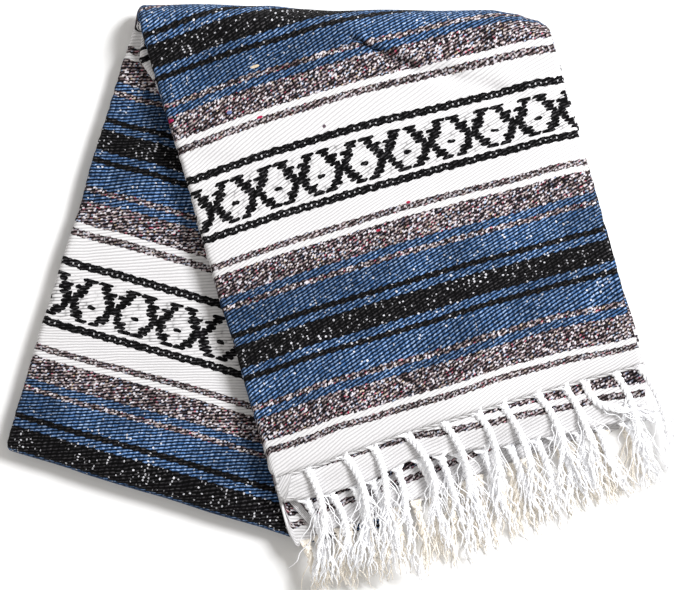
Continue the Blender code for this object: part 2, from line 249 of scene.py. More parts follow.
def flat_run(start_u, end_u, level, count, crowd=0.0):
    """Evenly spaced points of one ply, or crowded towards its middle, where the creases are."""
    shares = [i / count + crowd * math.sin(2 * math.pi * i / count) for i in range(count)]
    return [(start_u + (end_u - start_u) * share, level * PLY) for share in shares]


def turn_run(centre_u, centre, radius, start_up, left, count):
    """Points round one lengthwise fold, from its upper or its lower side on."""
    points = []
    for i in range(count):
        angle = math.pi * i / count
        reach = radius * PLY * math.sin(angle)
        rise = radius * PLY * math.cos(angle) * (1 if start_up else -1)
        points.append((centre_u + (-reach if left else reach), centre * PLY + rise))
    return points


def section(columns):
    """(u, g, q) across the outer half, from the top ply's selvedge through all four plies."""
    top, second, third, fourth = columns
    points = flat_run(STRIP, FOLD_LEFT, 7.5, top, 0.085)
    points += turn_run(FOLD_LEFT, 6.0, 1.5, True, True, 9)
    points += flat_run(FOLD_LEFT, FOLD_RIGHT, 4.5, fourth)
    points += turn_run(FOLD_RIGHT, 5.0, 0.5, False, False, 4)
    points += flat_run(FOLD_RIGHT, FOLD_LEFT, 5.5, third)
    points += turn_run(FOLD_LEFT, 6.0, 0.5, False, True, 4)
    points += flat_run(FOLD_LEFT, STRIP, 6.5, second)
    points.append((STRIP, 6.5 * PLY))
    result = []
    q = 0.0
    for i, (u, g) in enumerate(points):
        if i:
            q += math.dist(points[i - 1], (u, g))
        result.append((u, g, q))
    return result


# By q: where the top ply ends, where the cloth has turned under it, and where the second ply begins
A_END = STRIP - FOLD_LEFT
A_FOLDED = A_END + 1.5 * math.pi * PLY
SECOND = 3 * STRIP


def folding_over(q):
    """0 on the top ply, 1 once the cloth has turned under it."""
    return smooth((q - A_END) / (A_FOLDED - A_END))


def outer_end(u, q):
    """The v at which the outer half ends, at this place across the cloth."""
    if q < A_FOLDED:
        return end_of(UPPER, u) + folding_over(q) * (end_of(MIDDLE, u) - end_of(UPPER, u))
    if q < SECOND:
        return end_of(MIDDLE, u) - (0.003 if q < 2 * STRIP else 0.0)
    return end_of(UPPER, u) + 0.0025 + smooth((SECOND + 0.01 - q) / 0.01) * 0.012


def inner_end(u, q):
    """The v at which the inner half ends."""
    hidden = end_of(MIDDLE, u) - 0.006
    if q < A_FOLDED:
        return end_of(LOWER, u) + folding_over(q) * (hidden - end_of(LOWER, u))
    if q < SECOND:
        return hidden
    return end_of(LOWER, u) - 0.004


BOW = (
    # v, left, right: how far the stripes sag towards the strip's edges
    (0.000, 0.0040, 0.0050), (0.080, 0.0055, 0.0085), (0.132, 0.0069, 0.0121), (0.209, 0.0052, 0.0078),
    (0.291, 0.0026, 0.0035), (0.378, 0.0039, 0.0052), (0.397, 0.0052, 0.0026),
)


def bow(u, v):
    """How far a stripe of the upper leg sags at a place."""
    x = 2 * u / STRIP - 1
    side = between(BOW, v, 1 if x < 0 else 2)
    sway = 0.0010 * noise.noise(Vector((u * 9, v * 5, 0.4)))
    return side * abs(x) ** 2.2 + sway


# How far the upper leg's stripes lie past that, in units: v, then one value for each place across
DRIFT_AT = (0.06, 0.20, 0.35, 0.50, 0.65, 0.80, 0.94)
DRIFT = (
    (0.030, -1, -2, 0, -1.5, -0.5, -1.5, -1.5),
    (0.065, -1.5, -2.5, -1, -1.5, 0, -1, -1.5),
    (0.100, -1.5, -2, -1, -1, 0, 0.5, -1.5),
    (0.130, 0.8, 1, 3, 3.5, 5, 4.5, 1),
    (0.155, 0.8, 1, 2.7, 3.5, 4.3, 4.5, 1.5),
    (0.187, 1.5, 1.5, 3, 3.5, 2.5, 2, -0.5),
    (0.205, 0.5, 0, 1.5, 1, 1, 1.5, -1),
    (0.240, -0.5, -0.5, 0.5, 0, 0.5, 1, -1.5),
    (0.275, 0.5, -0.5, 0.3, 0, -0.5, 0.5, 0.5),
    (0.315, 0, -0.8, 0.5, 0.5, -1.5, -0.8, 0.2),
    (0.347, 2.3, 1, 3.7, 4.8, 3, 2, 5),
    (0.365, 2.5, 1.5, 4.4, 5.3, 3.1, 3.5, 7),
)
# The same for the lower leg, up from its bottom fold
LOWER_DRIFT_AT = (0.05, 0.15, 0.25, 0.35, 0.45)
LOWER_DRIFT = (
    (-0.404, 0, 0, 0, 0, 0),
    (-0.385, 1, 1.5, 2.5, 3.5, 4),
    (-0.360, 1.6, 2, 3.4, 4.5, 5.6),
    (-0.330, 0, 1, 3, 4.5, 5.5),
    (-0.312, -0.5, 0.5, 2.5, 4, 5),
    (-0.297, -3, -1.5, 0, 1.5, 3),
    (-0.278, -3, -2, 0, 1.5, 3),
    (-0.255, -1, 0.6, 1.3, 2.3, 3.3),
    (-0.225, -1, 1, 2, 3, 4),
    (-0.208, 0.4, 3, 4, 4.5, 5),
    (-0.190, 0, 3.1, 3.7, 4.5, 5),
    (-0.155, 2.5, 5, 5, 5, 5),
    (-0.135, 2, 5, 5, 5, 5),
    (-0.110, -1, 2, 2, 2, 2),
    (-0.050, 0, 0, 0, 0, 0),
)


def drift(table, places, u, v):
    """A value read from such a table, in metres."""
    levels = [between(table, v, 1 + i) for i in range(len(places))]
    return between(list(zip(places, levels)), u / STRIP) * UNIT


def ragged(q, v, seed):
    """Small unevenness of a selvedge or of a folded edge."""
    fine = noise.noise(Vector((v * 160, q * 3, seed)))
    broad = noise.noise(Vector((v * 21, q * 2, seed + 4)))
    return 0.0009 * fine + 0.0016 * broad


def bend_v(u, share):
    """The v of a place part of the way round the angled fold."""
    return u * math.tan(SLANT) - share * BEND / math.cos(SLANT)


# How much of the folded plies' last white is left to see, more or less than on the top ply: (across, length)
HEM_TURNED = (
    (0.00, 0.0030), (0.22, 0.0020), (0.37, -0.0052), (0.48, -0.0046), (0.60, -0.0015), (1.00, -0.0009),
)
# Rows of points crowd towards the top ply's end by this power; its stripes are drawn to it past this share
CROWDING = 1.35
DRAWN_FROM = 0.75
# How much of the lowest ply is counted from its own end, and how far its stripes sag at the right
TAIL = 0.080
LOWER_SAG = 0.0043


def fold_d(u):
    """The d of the top ply where the angled fold begins."""
    axis = bend_v(u, 0)
    return D_AT_FOLD + axis - bow(u, axis) - drift(DRIFT, DRIFT_AT, u, axis)


def bend_ratio(g):
    """How long a ply runs round the angled fold, as a share of its middle line."""
    return (g + GAP / 2) / BEND_RADIUS


def outer_rows(u, g, q, counts):
    """(v, d) down one column of the outer half, from its end to the middle of the underside."""
    upper, bend, under = counts
    axis = bend_v(u, 0)
    last = outer_end(u, q)
    # the top ply keeps the pattern's own place; plies under it are counted from their own ends
    own = folding_over(q)
    hem = between(HEM_TURNED, u / STRIP) if q < SECOND else 0.0
    to_end = D_AT_END - (D_AT_FOLD + last - bow(u, last))
    rows = []
    for i in range(upper):
        share = (1 - i / upper) ** CROWDING
        v = axis + share * (last - axis)
        from_fold = D_AT_FOLD + v - bow(u, v) - drift(DRIFT, DRIFT_AT, u, v)
        from_fold += to_end * smooth((share - DRAWN_FROM) / (1 - DRAWN_FROM))
        from_end = D_AT_END + hem - (last - v)
        rows.append((v, from_fold + own * (from_end - from_fold)))
    first_d = fold_d(u)
    ratio = bend_ratio(g)
    for i in range(bend):
        v = bend_v(u, i / bend)
        rows.append((v, first_d - (axis - v) * ratio))
    under_v = bend_v(u, 1)
    bend_d = first_d - (axis - under_v) * ratio
    bottom_d = D_BOTTOM + math.pi * abs(BOTTOM_RADIUS - g)
    for i in range(under + 1):
        share = 0.5 * i / under
        v = under_v + share * (bottom_at(u) - under_v)
        rows.append((v, bend_d + share * (bottom_d - bend_d)))
    return rows


def inner_rows(u, g, q, counts):
    """(v, d) down one column of the inner half, from its end round the bottom fold to mid-underside."""
    hidden, end, bend, lower, bottom, under = counts
    axis = bend_v(u, 0)
    last = inner_end(u, q)
    tail_d = -(D_AT_LOWER_END - TAIL)

    def from_bottom(v):
        return -(v - BOTTOM_V - D_BOTTOM)

    rows = []
    for i in range(end):
        v = last - TAIL * i / end
        rows.append((v, -(D_AT_LOWER_END - (last - v))))
    for i in range(hidden):
        v = last - TAIL + (axis - last + TAIL) * i / hidden
        rows.append((v, tail_d + (from_bottom(axis) - tail_d) * i / hidden))
    for i in range(bend):
        v = bend_v(u, i / bend)
        rows.append((v, from_bottom(v)))
    top = bend_v(u, 1)
    for i in range(lower):
        v = top + (bottom_at(u) - top) * i / lower
        sag = LOWER_SAG * (u / STRIP) * smooth((v - BOTTOM_V) / 0.35)
        rows.append((v, from_bottom(v) + drift(LOWER_DRIFT, LOWER_DRIFT_AT, u, v) - sag))
    start_d = from_bottom(bottom_at(u))
    arm = math.pi * abs(BOTTOM_RADIUS - g)
    for i in range(bottom):
        over = math.pi * BOTTOM_RADIUS * i / bottom
        rows.append((bottom_at(u) - over, start_d + arm * i / bottom))
    bottom_d = start_d + arm
    bend_d = fold_d(u) - (axis - top) * bend_ratio(STACK - g)
    for i in range(under + 1):
        share = 0.5 * i / under
        over = math.pi * BOTTOM_RADIUS + share * (top - bottom_at(u))
        rows.append((bottom_at(u) - over, bottom_d + share * (bend_d - bottom_d)))
    return rows


def settled(v, u, g, q):
    """The height in the stack near the outer half's end, where plies stop above or below."""
    # inner plies sink where the one below ends, and rise past the top ply's end
    if A_FOLDED < q < SECOND:
        g -= 2 * PLY * smooth((v - end_of(MIDDLE, u) + 0.026) / 0.026)
        g += 0.8 * PLY * smooth((v - end_of(UPPER, u) - 0.001) / 0.006)
    elif q <= A_END:
        g -= 0.6 * PLY * smooth((v - end_of(UPPER, u) + 0.008) / 0.008)
    return g


# How far from a side its unevenness reaches, how far the lower plies stick out there, and how far the right
# side is drawn in at the ends, over a length
SIDE = 0.030
STICK_OUT = 0.0014
DRAWN_IN, DRAWN_OVER = 0.0080, 0.040
# The left side of the lower leg is pushed out under the angled fold: how far, the share of the plies above,
# from and to which v, and how far in from the side
PUSHED_OUT, PUSHED_SHARE = 0.0140, 0.55
PUSHED_FROM, PUSHED_TO, PUSHED_IN = 0.006, 0.060, 0.045
# Lumps of the hem at the left end: how far they go out and up, and where they begin
LUMP_OUT, LUMP_UP = 0.0042, 0.0026
LUMPS_FROM, LUMPS_OVER = 0.016, 0.020


def add_mesh(name, verts, faces, layer_name, corner_uvs):
    """A smooth mesh object with one UV for each corner of its faces, in order."""
    mesh = bpy.data.meshes.new(name)
    mesh.from_pydata(verts, [], faces)
    layer = mesh.uv_layers.new(name=layer_name)
    for item, uv in zip(layer.data, corner_uvs):
        item.uv = uv
    mesh.shade_smooth()
    obj = bpy.data.objects.new(name, mesh)
    bpy.context.scene.collection.objects.link(obj)
    return obj


def hem_lump(u, v, q):
    lump = noise.noise(Vector((q * 90, v * 110, 8.2))) + 0.5 * noise.noise(Vector((q * 210, v * 230, 3.2)))
    return lump * smooth((SIDE - u) / SIDE) * smooth((v - UPPER_END + LUMPS_FROM) / LUMPS_OVER)


def at_the_sides(u, v, q, outer):
    """The u of a point, moved by what the two sides of the strip do."""
    near_right = smooth((u - STRIP + SIDE) / SIDE)
    near_left = smooth((SIDE - u) / SIDE)
    moved = near_right * (ragged(q, v, 2.2) + (STICK_OUT if q > 0.02 else 0.0))
    moved -= DRAWN_IN * near_right * smooth((v - UPPER_END + 0.004) / DRAWN_OVER)
    moved += near_left * ragged(q, v, 6.1)
    if not outer and v > 0:
        pushed = smooth(1 - v / PUSHED_TO) * smooth(v / PUSHED_FROM) * smooth((PUSHED_IN - u) / PUSHED_IN)
        moved -= PUSHED_OUT * (1.0 if q < 2 * STRIP else PUSHED_SHARE) * pushed
    return u + moved


def cloth(name, outer, columns, counts):
    """One half of the blanket as a grid over the opened cloth, folded into place, with q and d as its UV."""
    verts = []
    uvs = []
    across = section(columns)
    for u, g, q in across:
        level = g if outer else STACK - g
        for v, d in (outer_rows if outer else inner_rows)(u, level, q, counts):
            here = at_the_sides(u, v, q, outer)
            if outer:
                lump = hem_lump(u, v, q)
                verts.append(place(here - LUMP_OUT * lump, v, settled(v, u, level, q) + LUMP_UP * lump))
            else:
                verts.append(place(here, v, level))
            uvs.append((q, d))
    height = len(verts) // len(across)
    faces = []
    for i in range(len(across) - 1):
        for j in range(height - 1):
            a = i * height + j
            face = (a, a + 1, a + height + 1, a + height)
            faces.append(face if outer else face[::-1])
    obj = add_mesh(name, verts, faces, "cloth", [uvs[corner] for face in faces for corner in face])
    wall = obj.modifiers.new("wall", "SOLIDIFY")
    wall.thickness = WALL
    wall.offset = 0.0
    return obj


def arithmetic(operation, swapped=False):
    def method(value, other):
        return value.nodes.math(operation, *((other, value) if swapped else (value, other)))
    return method


class Value:
    """A node's output. A sum, difference, product, quotient or power of it is a math node of its own."""

    def __init__(self, nodes, socket):
        self.nodes, self.socket = nodes, socket

    __add__, __radd__ = arithmetic("ADD"), arithmetic("ADD", True)
    __sub__, __rsub__ = arithmetic("SUBTRACT"), arithmetic("SUBTRACT", True)
    __mul__, __rmul__ = arithmetic("MULTIPLY"), arithmetic("MULTIPLY", True)
    __truediv__, __pow__ = arithmetic("DIVIDE"), arithmetic("POWER")


def blend(share, a, b):
    return a * (1.0 - share) + share * b


def centred(value, reach):
    """A random value from 0 to 1, set about zero and scaled."""
    return (value - 0.5) * reach


class Nodes:
    """A material's node tree, built from short calls. Every argument is a Value or a plain one."""

    def __init__(self, name):
        self.material = bpy.data.materials.new(name)
        self.material.use_nodes = True
        self.tree = self.material.node_tree
        self.shader = self.tree.nodes["Principled BSDF"]

    def plug(self, socket, value):
        if isinstance(value, Value):
            self.tree.links.new(value.socket, socket)
        elif value is not None:
            socket.default_value = value

    def add(self, kind, **settings):
        node = self.tree.nodes.new(kind)
        for key, value in settings.items():
            setattr(node, key, value)
        return node

    def out(self, node, output=0):
        return Value(self, node.outputs[output])

    def uv(self, layer):
        """The place on a UV layer, and its two parts."""
        whole = self.out(self.add("ShaderNodeUVMap", uv_map=layer))
        parts = self.add("ShaderNodeSeparateXYZ")
        self.plug(parts.inputs[0], whole)
        return whole, self.out(parts), self.out(parts, 1)

    def math(self, operation, a, b=None, c=None):
        node = self.add("ShaderNodeMath", operation=operation)
        for socket, value in zip(node.inputs, (a, b, c)):
            self.plug(socket, value)
        return self.out(node)

    whole = partialmethod(math, "FLOOR")
    part = partialmethod(math, "FRACT")
    size = partialmethod(math, "ABSOLUTE")
    above = partialmethod(math, "GREATER_THAN")
    below = partialmethod(math, "LESS_THAN")
    near = partialmethod(math, "COMPARE")

    def hump(self, a):
        """From 0 up to 1 and back within each whole step."""
        return self.math("SINE", self.part(a) * math.pi)

    def lens(self, along, across):
        """1 inside a round or a lens whose half sizes are 1."""
        return self.below(along * along + across * across, 1.0)

    def vector(self, x, y, z=0.0):
        node = self.add("ShaderNodeCombineXYZ")
        for socket, value in zip(node.inputs, (x, y, z)):
            self.plug(socket, value)
        return self.out(node)

    def mix(self, factor, a, b, blend="MIX"):
        node = self.add("ShaderNodeMix", data_type="RGBA", blend_type=blend, clamp_factor=True)
        self.plug(node.inputs["Factor"], factor)
        self.plug(node.inputs[6], a)
        self.plug(node.inputs[7], b)
        return self.out(node, 2)

    def ramp(self, factor, stops):
        """A colour for each stretch of a factor, from stops of three values each, without blending."""
        node = self.add("ShaderNodeValToRGB")
        ramp = node.color_ramp
        ramp.interpolation = "CONSTANT"
        while len(ramp.elements) < len(stops):
            ramp.elements.new(1.0)
        for element, (position, colour) in zip(ramp.elements, stops):
            element.position = position
            element.color = (*colour, 1.0)
        self.plug(node.inputs[0], factor)
        return self.out(node)

    def split(self, colour):
        node = self.add("ShaderNodeSeparateColor")
        self.plug(node.inputs[0], colour)
        return [self.out(node, channel) for channel in range(3)]

    def random(self, *place):
        """A random value for a place."""
        return self.randoms(*place, output=0)

    def randoms(self, *place, output=1):
        """Three random values for a place, as a colour."""
        node = self.add("ShaderNodeTexWhiteNoise", noise_dimensions="3D")
        self.plug(node.inputs["Vector"], self.vector(*place))
        return self.out(node, output)

    def noise(self, vector, scale, detail=2.0):
        node = self.add("ShaderNodeTexNoise")
        self.plug(node.inputs["Vector"], vector)
        self.plug(node.inputs["Scale"], scale)
        self.plug(node.inputs["Detail"], detail)
        return self.out(node)

    def range(self, value, low, high, out_low=0.0, out_high=1.0):
        node = self.add("ShaderNodeMapRange", interpolation_type="SMOOTHSTEP")
        for index, number in enumerate((value, low, high, out_low, out_high)):
            self.plug(node.inputs[index], number)
        return self.out(node)

    def finish(self, colour, height, strength, distance, constants):
        """Plugs in colour and bump. What is the same all over is set on the shader's own sockets."""
        self.plug(self.shader.inputs["Base Color"], colour)
        for name, value in constants.items():
            self.shader.inputs[name].default_value = value
        bump = self.add("ShaderNodeBump")
        bump.inputs["Strength"].default_value = strength
        bump.inputs["Distance"].default_value = distance
        self.plug(bump.inputs["Height"], height)
        self.plug(self.shader.inputs["Normal"], self.out(bump))
        return self.material


# The weave: distance of rows, distance of the warps, how many rows a yarn climbs from warp to warp, and the
# length of a float in the brocade
ROW = 0.00286
COLUMN = 0.00487
CLIMB = 0.58
FLOAT = 0.0118
SPECK_ROW = ROW / 1.2
BLACK = (0.0055, 0.0050, 0.0065)
BLUE = (0.040, 0.108, 0.262)
BROWN = (0.200, 0.150, 0.150)
MIXED = (0.150, 0.120, 0.130)
WHITE = (0.800, 0.790, 0.780)
WARP_END = (0.66, 0.66, 0.70, 1.0)
WARP_END_IN_BORDER = (0.66, 0.66, 0.68, 1.0)
# Painted highlights on the yarns' crests: pale on most colours, blue on the blue yarn
PAINTED_PALE_HIGHLIGHT = (0.66, 0.64, 0.66, 1.0)
PAINTED_BLUE_HIGHLIGHT = (0.47, 0.60, 0.80, 1.0)
FLECKS = (
    (0.000, (0.030, 0.023, 0.028)), (0.260, (0.130, 0.084, 0.086)), (0.440, (0.300, 0.230, 0.245)),
    (0.590, (0.080, 0.092, 0.160)), (0.670, (0.520, 0.430, 0.410)), (0.770, (0.180, 0.086, 0.118)),
    (0.830, (0.780, 0.740, 0.770)), (0.930, (0.380, 0.030, 0.085)), (0.955, (0.320, 0.380, 0.520)),
    (0.985, (0.520, 0.370, 0.200)),
)
# Half a repeat, out from the middle of a black band: (start in units, colour, heather, bright specks)
STRIPES = (
    (0, BLACK, 0, 0.42),
    (11, BLUE, 0, 0.16),
    (19, BLACK, 0, 0.16),
    (24.5, BLUE, 0, 0.14),
    (48, BROWN, 1, 0),
    (53, BLUE, 0, 0.14),
    (61, MIXED, 1, 0),
    (85.5, WHITE, 0, 0),
    (91.5, BROWN, 0.7, 0),
    (98.5, WHITE, 0, 0),
    (120.5, BLACK, 0, 0),
    (128.5, WHITE, 0, 0),
)
HALF_UNITS = HALF / UNIT
# The borders, whose edges run even, the white that closes each end of the cloth, and the middles of the black
# border and of the brown line
EVEN_FROM = 108.0
LAST_WHITE_FROM = 99.0
LAST_WHITE = 105.0
BORDER_MIDDLE = 125.3
LINE_MIDDLE = 94.6
# Unevenness of the weave in metres, then the fuzz, the steps and the waves of a stripe's edge
WOBBLE_ACROSS = 0.0016
WOBBLE_ALONG = 0.0014
EDGE_FUZZ = 0.0020
EDGE_STEP = 0.24
EDGE_WAVE = 0.00045
# The brocade between the borders, row by row from the upper one: how far from the middle of a lozenge its
# black lies (middle, half length), in periods, and its extra: 1 an eye in the lozenge, 0.5 a warp end
MOTIF = (
    (0.175, 0.172, 0), (0.205, 0.105, 0), (0.318, 0.165, 0.5), (0.305, 0.138, 0), (0.390, 0.165, 0.5),
    (0.450, 0.140, 0), (0.440, 0.150, 1), (0.380, 0.110, 0.5), (0.298, 0.150, 0), (0.270, 0.138, 0),
    (0.150, 0.145, 0),
)
MOTIF_LEAN = 1.6
MOTIF_PERIOD = 0.0386
MOTIF_FROM = 0.0303
MOTIF_HALF = 21.6
MOTIF_LOWER = 1.8
DASH_HEIGHT = 1.32
EYE_HALF = 0.095
# How much of the brocade's relief is that of its floats, and how much deeper the painted shade between the
# white floats is
FLOATS = 0.75
FLOAT_PAINTED_SHADE = 0.46
# The white's brightest and its shade between the yarns, against a coloured yarn's
WHITE_TONE = 0.93
WHITE_LOW, COLOURED_LOW = 0.69, 0.03


class Weave(Nodes):
    """The cloth's material: weft dashes in rows, striped along the length, with a brocade from its chart."""

    def __init__(self):
        super().__init__("woven_cloth")
        self.place, across, along = self.uv("cloth")
        self.q = across + centred(self.noise(self.place, 60.0), WOBBLE_ACROSS)
        wobble = self.noise(self.vector(along, across, 3.0), 95.0)
        self.d = along + centred(wobble, WOBBLE_ALONG)
        # weft yarns: slanted lines that climb from warp to warp, a dash to each
        self.column = self.q / COLUMN
        self.column_no = self.whole(self.column)
        self.phase = self.d / ROW - self.column * CLIMB
        self.row_no = self.whole(self.phase)
        self.yarn = self.hump(self.phase)
        # flecks: about three to a warp and two to a row
        fleck_row = self.whole(self.phase * 2.0)
        fleck_start = self.random(fleck_row, 2.0, 2.0) * 3.0
        fleck_no = self.whole(self.column * 2.9 + fleck_start)
        self.fleck = self.random(fleck_row, fleck_no, 5.0)

    def stripes(self):
        """Colours by the place within the repeat, with edges that step a little from dash to dash."""
        fuzzy = self.d + centred(self.noise(self.place, 520.0), EDGE_FUZZ)
        straight = self.row_no + (self.column_no + 0.5) * CLIMB
        step = (straight + 0.5) * ROW - self.d
        stepped = self.size(fuzzy + step * EDGE_STEP)
        wave = self.math("SINE", self.q * (math.pi / COLUMN)) * EDGE_WAVE
        even = self.size(fuzzy + wave)
        from_black, from_black_even = (self.math("PINGPONG", x, HALF) / UNIT for x in (stepped, even))
        spot = blend(self.above(from_black_even, EVEN_FROM), from_black, from_black_even)
        last = self.above(stepped, 3 * REPEAT + LAST_WHITE_FROM * UNIT)
        self.spot = blend(last, spot, LAST_WHITE)
        share = self.spot / HALF_UNITS
        stops = [(start / HALF_UNITS, shade, (*traits, 0.0)) for start, shade, *traits in STRIPES]
        colour = self.ramp(share, [(start, shade) for start, shade, _ in stops])
        traits = self.split(self.ramp(share, [(start, pair) for start, _, pair in stops]))
        self.specks = traits[1]
        # heathered yarn: short flecks of many colours
        return self.mix(traits[0] * 0.95, colour, self.ramp(self.fleck, FLECKS))

    def brocade(self, colour):
        """The figures: lens-shaped floats that lean with the rows."""
        lozenge = (self.q - MOTIF_FROM) / MOTIF_PERIOD
        in_period = self.part(lozenge)
        mirrored = 0.5 - self.size(in_period - 0.5)
        handed = self.math("SIGN", 0.5 - in_period)
        in_band = self.math("MODULO", self.d + 10 * REPEAT, REPEAT) - HALF
        band_units = in_band / UNIT - MOTIF_LOWER
        self.inside = self.below(self.size(band_units), MOTIF_HALF)
        band_row = (band_units + MOTIF_HALF) / (2 * MOTIF_HALF) * len(MOTIF)
        band_row += centred(self.noise(self.place, 230.0, 1.0), 0.9)
        row_index = self.whole(band_row)
        in_row = self.part(band_row) * 2.0 - 1.0
        chart_place = (row_index + 0.5) / len(MOTIF)
        chart = self.split(self.ramp(chart_place, [(i / len(MOTIF), row) for i, row in enumerate(MOTIF)]))
        jitter = self.split(self.randoms(row_index, self.whole(lozenge * 2.0), 8.0))
        half = chart[1] + centred(jitter[0], 0.05)
        centre = chart[0] + centred(jitter[1], 0.03)
        offset = mirrored - centre
        tilt = offset * handed * -MOTIF_LEAN
        dash = self.lens(offset / half, (in_row + tilt) / DASH_HEIGHT)
        eye = self.lens(mirrored / EYE_HALF, in_row * 0.9)
        eye *= self.above(chart[2], 0.8)
        warp_end = self.near(chart[2], 0.5, 0.1) * self.above(mirrored, 0.486)
        black = self.math("MAXIMUM", dash, eye) * self.inside * (1.0 - warp_end)
        return self.mix(black, colour, (*BLACK, 1.0))

    def relief(self, colour):
        """Height of the yarns, lower between the dashes; in the brocade the longer floats' own."""
        self.whiteness = self.range(self.split(colour)[1], 0.30, 0.60)
        gap = 0.42 - self.whiteness * 0.28
        in_dash = self.hump(self.column) ** 0.6
        plain = self.yarn * (in_dash * gap + (1.0 - gap))
        float_start = self.random(self.row_no, 6.0, 6.0) * 4.0
        self.float_place = self.q / FLOAT + float_start
        floats = self.yarn ** 0.7 * self.hump(self.float_place) ** 0.35
        covered = self.inside * FLOATS
        self.height = plain * (1.0 - covered) + covered * floats

    def shaded(self, colour):
        """Light and dark from dash to dash, painted shade between the yarns, and painted highlights on their
        crests.
        """
        by_dash = self.random(self.row_no, self.column_no, 1.0)
        tone = by_dash * 0.5 + self.fleck * 0.5 + 0.5
        tone = blend(self.whiteness, tone, WHITE_TONE)
        # Painted shade between the brocade's white floats, deeper at random from float to float
        deeper_shade_chance = self.random(self.row_no, self.whole(self.float_place + 0.5), 4.0)
        float_painted_shade = self.inside * self.whiteness * self.range(deeper_shade_chance, 0.35, 0.8) * FLOAT_PAINTED_SHADE
        # Painted shade: the colour darkens where the relief is low, between the yarns and the dashes, and
        # stays full on the crests
        low = self.whiteness * WHITE_LOW + COLOURED_LOW - float_painted_shade
        lit = self.range(self.height, 0.3 - self.whiteness * 0.2, 0.92)
        tone = tone * (low + (1.0 - low) * lit)
        cooler = tone * (1.0 + self.whiteness * 0.03)
        toned = self.mix(1.0, colour, self.vector(tone, tone, cooler), "MULTIPLY")
        red, _, blue = self.split(colour)
        # Painted highlights: bright spots on the crests of the dashes, not on the white
        glint = self.fleck ** 2.2 * 0.8
        crest_highlight = self.range(self.height, 0.62, 0.96) * (1.0 - self.whiteness) * glint
        crest_highlight *= self.range(blue, 0.02, 0.2, 0.12, 1.0)
        blueness = self.range(blue - red, 0.06, 0.16)
        return self.mix(crest_highlight, toned, self.mix(blueness, PAINTED_PALE_HIGHLIGHT, PAINTED_BLUE_HIGHLIGHT))

    def warp_ends(self, toned):
        """White warp ends that show through the black and the blue, and along the borders."""
        warp = self.column + 0.5
        warp_no = self.whole(warp)
        speck_row = self.d / SPECK_ROW + self.random(warp_no, 3.0, 7.0)
        speck_no = self.whole(speck_row)
        chances = self.split(self.randoms(speck_no, warp_no, 12.0))
        strayed = 0.28 + self.random(warp_no, speck_no, 4.0) * 0.44
        half_width = 0.08 + chances[1] * 0.13
        half_height = 0.18 + chances[2] * 0.26
        aside = (self.part(warp) - strayed) / half_width
        along = (self.part(speck_row) - 0.5) / half_height
        amount = self.specks * self.range(self.noise(self.place, 26.0), 0.3, 0.7, 0.3, 1.15)
        speck = self.lens(aside, along) * self.below(chances[0], amount)
        brightness = 0.45 + chances[1] * 0.5
        toned = self.mix(speck * brightness, toned, WARP_END)
        in_border = self.near(self.spot, BORDER_MIDDLE, 0.9)
        in_line = self.near(self.spot, LINE_MIDDLE, 1.2) * 0.8
        middle = self.math("MAXIMUM", in_border, in_line)
        dots = middle * self.near(self.part(warp), 0.5, 0.13) * self.above(chances[0], 0.4)
        return self.mix(dots * 0.8, toned, WARP_END_IN_BORDER)

    def dyed(self, toned):
        """Broad unevenness of the dye."""
        patch = self.range(self.noise(self.place, 15.0, 3.0), 0.30, 0.72, 0.70, 1.30)
        streaks = self.noise(self.vector(self.q * 0.25, self.d), 420.0)
        patch *= self.range(streaks, 0.3, 0.7, 0.82, 1.18)
        patch = blend(self.whiteness, patch, 0.99)
        return self.mix(1.0, toned, self.vector(patch, patch, patch), "MULTIPLY")

    def slubs(self, toned):
        """Single slubs and stray flecks, at listed places."""
        for place_q, place_d, long, tall, shade in NEPS:
            along = (self.q - place_q) / long
            across = (self.d - place_d) / tall
            toned = self.mix(self.lens(along, across), toned, (*shade, 1.0))
        return toned


def woven():
    n = Weave()
    colour = n.brocade(n.stripes())
    n.relief(colour)
    toned = n.slubs(n.dyed(n.warp_ends(n.shaded(colour))))
    fuzz = n.noise(n.place, 2600.0) * 0.22
    height = n.height * (1.0 - n.whiteness * 0.62) + fuzz
    constants = {"Roughness": 0.94, "Specular IOR Level": 0.06, "Sheen Weight": 0.03, "Sheen Roughness": 0.55}
    return n.finish(toned, height, 0.9, 0.0011, constants)


def nep(u_units, v_units, long, tall, shade):
    """A slub on the upper leg: place in units, then its half sizes."""
    return STRIP - (u_units - 18.5) * UNIT, (580.5 + v_units) * UNIT, long, tall, shade


NEPS = (
    nep(117, 85, 0.0040, 0.0013, (0.70, 0.58, 0.42)),
    nep(80, 120, 0.0022, 0.0016, (0.14, 0.17, 0.34)),
    nep(108, 134, 0.0026, 0.0012, (0.42, 0.02, 0.08)),
    nep(190, 274, 0.0022, 0.0012, (0.36, 0.02, 0.05)),
    nep(226, 255, 0.0020, 0.0012, (0.38, 0.02, 0.06)),
    nep(22, 108, 0.0026, 0.0014, (0.40, 0.02, 0.10)),
    nep(167, 158, 0.0016, 0.0014, (0.10, 0.07, 0.09)),
    (STRIP - 0.0385, -0.0822, 0.0012, 0.0012, (0.78, 0.78, 0.80)),
)


